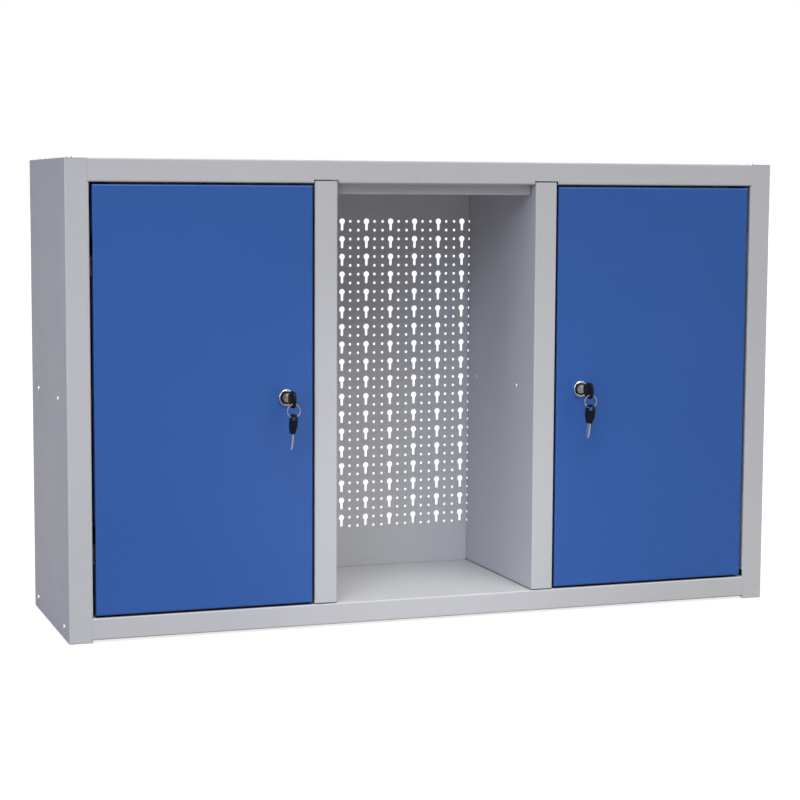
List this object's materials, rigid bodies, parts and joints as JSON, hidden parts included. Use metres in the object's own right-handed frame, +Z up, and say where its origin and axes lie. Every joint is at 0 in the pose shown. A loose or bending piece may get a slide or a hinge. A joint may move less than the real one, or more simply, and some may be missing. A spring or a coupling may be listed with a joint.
{
  "type": "wall tool cabinet",
  "caption": "Sheet-steel wall tool cabinet with lockable side doors, an open middle bay with a perforated back, and keys on rings hanging in the locks.",
  "frame": {"origin": "under the middle of the whole box, hanging keys included, at the plane that the cabinet stands on", "axes": "+X to the right along the front, +Y from the doors to the wall behind, +Z up"},
  "size_m": [1.0044, 0.315, 0.6222],
  "materials": {
    "frame_paint": "satin light grey powder coat",
    "door_paint": "satin blue powder coat",
    "zinc_steel": "zinc plated",
    "bright_plating": "bright nickel",
    "black_plastic": "moulded, slightly satin"
  },
  "bodies": {
    "carcass": {"back_rivets": "zinc_steel", "bottom_panel": "frame_paint", "bottom_screws": "zinc_steel", "divider_screws": "zinc_steel", "left_back_panel": "frame_paint", "left_divider": "frame_paint", "left_lower_hinge_frame_leaf": "zinc_steel", "left_lower_hinge_pin": "zinc_steel", "left_shelf": "frame_paint", "left_side_panel": "frame_paint", "left_upper_hinge_frame_leaf": "zinc_steel", "left_upper_hinge_pin": "zinc_steel", "perforated_back": "frame_paint", "right_back_panel": "frame_paint", "right_divider": "frame_paint", "right_lower_hinge_frame_leaf": "zinc_steel", "right_lower_hinge_pin": "zinc_steel", "right_shelf": "frame_paint", "right_side_panel": "frame_paint", "right_upper_hinge_frame_leaf": "zinc_steel", "right_upper_hinge_pin": "zinc_steel", "shelf_screws": "zinc_steel", "top_panel": "frame_paint", "top_screws": "zinc_steel"},
    "left_door": {"left_door_panel": "door_paint", "left_lock_body": "bright_plating", "left_lock_nut": "zinc_steel", "left_upper_hinge_door_leaf": "zinc_steel", "left_lower_hinge_door_leaf": "zinc_steel"},
    "left_lock": {"left_lock_plug": "zinc_steel", "left_lock_cam": "zinc_steel", "left_cam_screw": "zinc_steel", "left_key_bow": "black_plastic", "left_key_blade": "zinc_steel"},
    "left_ring": {"left_key_ring": "bright_plating"},
    "left_spare_key": {"left_spare_key_bow": "black_plastic", "left_spare_key_blade": "zinc_steel"},
    "right_door": {"right_door_panel": "door_paint", "right_lock_body": "bright_plating", "right_lock_nut": "zinc_steel", "right_upper_hinge_door_leaf": "zinc_steel", "right_lower_hinge_door_leaf": "zinc_steel"},
    "right_lock": {"right_lock_plug": "zinc_steel", "right_lock_cam": "zinc_steel", "right_cam_screw": "zinc_steel", "right_key_bow": "black_plastic", "right_key_blade": "zinc_steel"},
    "right_ring": {"right_key_ring": "bright_plating"},
    "right_spare_key": {"right_spare_key_bow": "black_plastic", "right_spare_key_blade": "zinc_steel"}
  },
  "joints": [
    {"name": "left_door_hinge", "type": "hinge", "parent": "carcass", "child": "left_door", "pos_m": [-0.459, -0.1075, 0.311], "axis": [0, 0, -1], "range_deg": [0, 105]},
    {"name": "left_lock_turn", "type": "hinge", "parent": "left_door", "child": "left_lock", "pos_m": [-0.211, -0.1125, 0.31], "axis": [0, -1, 0], "range_deg": [0, 90]},
    {"name": "left_ring_hang", "type": "hinge", "parent": "left_lock", "child": "left_ring", "pos_m": [-0.211, -0.1465, 0.301], "axis": [0, -1, 0], "range_deg": [-90, 0]},
    {"name": "left_spare_key_swing", "type": "hinge", "parent": "left_ring", "child": "left_spare_key", "pos_m": [-0.211, -0.1465, 0.287], "axis": [-1, 0, 0], "range_deg": [-30, 60]},
    {"name": "right_door_hinge", "type": "hinge", "parent": "carcass", "child": "right_door", "pos_m": [0.459, -0.1075, 0.311], "axis": [0, 0, 1], "range_deg": [0, 105]},
    {"name": "right_lock_turn", "type": "hinge", "parent": "right_door", "child": "right_lock", "pos_m": [0.211, -0.1125, 0.31], "axis": [0, 1, 0], "range_deg": [0, 90]},
    {"name": "right_ring_hang", "type": "hinge", "parent": "right_lock", "child": "right_ring", "pos_m": [0.211, -0.1465, 0.301], "axis": [0, 1, 0], "range_deg": [-90, 0]},
    {"name": "right_spare_key_swing", "type": "hinge", "parent": "right_ring", "child": "right_spare_key", "pos_m": [0.211, -0.1465, 0.287], "axis": [-1, 0, 0], "range_deg": [-30, 60]}
  ],
  "couplings": [
    {"joint": "left_ring_hang", "follows": "left_lock_turn", "ratio": -1},
    {"joint": "right_ring_hang", "follows": "right_lock_turn", "ratio": -1}
  ]
}
